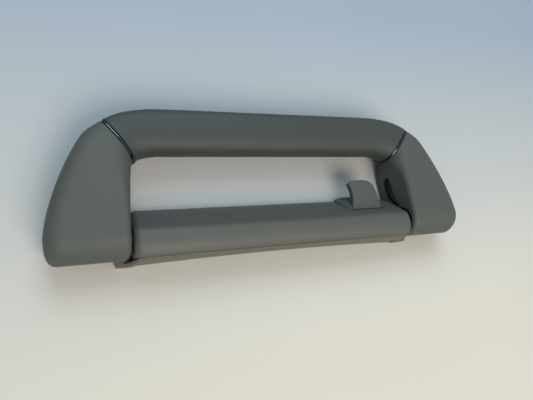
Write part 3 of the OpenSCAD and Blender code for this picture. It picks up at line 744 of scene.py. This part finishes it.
arm_mid = leg_in + 11.4
core_back = leg_mid_z - 7.4
grip_mid = (bow_rise + grip_low) / 2
mount_half = 50
pad_half = 52
pieces = (
    (bar_cover(), bar_shell, "base", ["bar_cover"], "shell"),
    (coat_hook(), hook_shell, "base", ["coat_hook"], "shell"),
    (carrier_tray(), carrier, "base", ["base_carrier"], "carrier"),
    (set_out(cover_screw(), steel, (-arm_mid, 14, core_back + 1.5), 2, (2 * arm_mid, 0, 0),
             2, (0, grip_low - 22, 0)), steel, "bow", ["end_cover_screws"], "steel"),
    (set_out(bump_pad(), rubber, (-pad_half, grip_mid, 0), 2, (2 * pad_half, 0, 0)),
     rubber, "bow", ["bump_pads"], "rubber"),
    (set_out(mount_sleeve(), steel, (-mount_half, 0, 0), 2, (2 * mount_half, 0, 0)),
     steel, "base", ["mount_sleeves"], "steel"),
    (set_out(cover_clip(), steel, (clip_start, 0, 0), 2, (clip_step, 0, 0), 2, (clip_row, 0, 0)),
     steel, "base", ["cover_clips"], "steel"),
)
for piece, mat, body, nodes, slot in pieces:
    dress(piece, mat, body, nodes)

# The solids that show as they are only get their materials
carried_over = (
    (steel, ("hook_screw", "return_spring", "left_hinge_pin", "right_hinge_pin", "pin_clips")),
    (bush_black, ("left_bush", "right_bush")),
    (damper_black, ("damper_body",)),
    (natural, ("damper_cap", "damper_rotor")),
    (core_plastic, ("bow_core",)),
)
for mat, nodes in carried_over:
    for node in nodes:
        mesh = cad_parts[node].data
        mesh.materials.clear()
        mesh.materials.append(mat)

# Floor painted from cool and dim at the top to warm and bright at the bottom, as painted light
# falloff; lamps and camera
floor_half, floor_z = 3, -0.0002
floor_mesh = bpy.data.meshes.new("floor")
floor_mesh.from_pydata([(x * floor_half, y * floor_half, floor_z)
                        for x, y in ((-1, -1), (1, -1), (1, 1), (-1, 1))], [], [(0, 1, 2, 3)])
floor = bpy.data.objects.new("floor", floor_mesh)
scene.collection.objects.link(floor)
floor_mat = bpy.data.materials.new("pale floor with painted light falloff")
floor_mat.use_nodes = True
ft = floor_mat.node_tree
fb = ft.nodes["Principled BSDF"]
fb.inputs["Roughness"].default_value = 0.9
fb.inputs["Specular IOR Level"].default_value = 0.1
fc = ft.nodes.new("ShaderNodeTexCoord").outputs["Object"]
# Painted light: the floor's colour warms and brightens towards the bottom, where the warm key
# falls, and cools and dims towards the top
drift = ft.nodes.new("ShaderNodeVectorMath")
drift.operation = "DOT_PRODUCT"
drift.inputs[1].default_value = (0.2, -4.6, 0.0)
ft.links.new(fc, drift.inputs[0])
warm = math_node(ft, "ADD", drift.outputs["Value"], 0.72, clamp=True)
cloud = noise(ft, fc, 9.0, 2.0, 0.5)
darker = mix_colour(ft, warm, srgb(159, 171, 185), srgb(207, 203, 195))
lighter = mix_colour(ft, warm, srgb(163, 175, 189), srgb(211, 207, 199))
ft.links.new(mix_colour(ft, cloud, darker, lighter), fb.inputs["Base Color"])
floor_mesh.materials.append(floor_mat)


def lamp(name, place, target, size, watts, colour):
    data = bpy.data.lights.new(name, "AREA")
    data.shape = "DISK"
    data.size = size
    data.energy = watts
    data.color = colour
    obj = bpy.data.objects.new(name, data)
    scene.collection.objects.link(obj)
    obj.location = place
    obj.rotation_euler = (Vector(target) - Vector(place)).to_track_quat("-Z", "Y").to_euler()


lamp("warm_key", (0.14, -0.66, 0.8), (0.0, -0.03, 0), 0.7, 8.2, (1.0, 0.89, 0.74))
lamp("cool_fill", (-0.02, 0.66, 0.86), (0, 0, 0), 0.7, 5.2, (0.72, 0.9, 1.0))

world = bpy.data.worlds.new("studio")
scene.world = world
world.use_nodes = True
wt = world.node_tree
back = wt.nodes["Background"]
back.inputs["Color"].default_value = (0.82, 0.93, 1.0, 1.0)
back.inputs["Strength"].default_value = 0.4
seen = wt.nodes.new("ShaderNodeBackground")
seen.inputs["Color"].default_value = srgb(200, 202, 203)
seen.inputs["Strength"].default_value = 1.0
path = wt.nodes.new("ShaderNodeLightPath")
ray = math_node(wt, "MAXIMUM", math_node(wt, "MAXIMUM", path.outputs["Is Camera Ray"],
                                         path.outputs["Is Glossy Ray"]),
                path.outputs["Is Transmission Ray"])
blend = wt.nodes.new("ShaderNodeMixShader")
wt.links.new(ray, blend.inputs[0])
wt.links.new(back.outputs[0], blend.inputs[1])
wt.links.new(seen.outputs[0], blend.inputs[2])
wt.links.new(blend.outputs[0], wt.nodes["World Output"].inputs["Surface"])

yaw, pitch, roll = (math.radians(v) for v in (-23.7, 13.03, -8.04))
cam_data = bpy.data.cameras.new("camera")
cam_data.sensor_width = 36.0
cam_data.lens = 29.2
cam_data.clip_start = 0.01
camera = bpy.data.objects.new("camera", cam_data)
scene.collection.objects.link(camera)
turn = (Matrix.Rotation(yaw, 4, "Y") @ Matrix.Rotation(pitch, 4, "X")
        @ Matrix.Rotation(roll, 4, "Z"))
camera.matrix_world = Matrix.Translation((-0.10344, -0.04, 0.23117)) @ turn
scene.camera = camera
scene.view_settings.view_transform = "Standard"
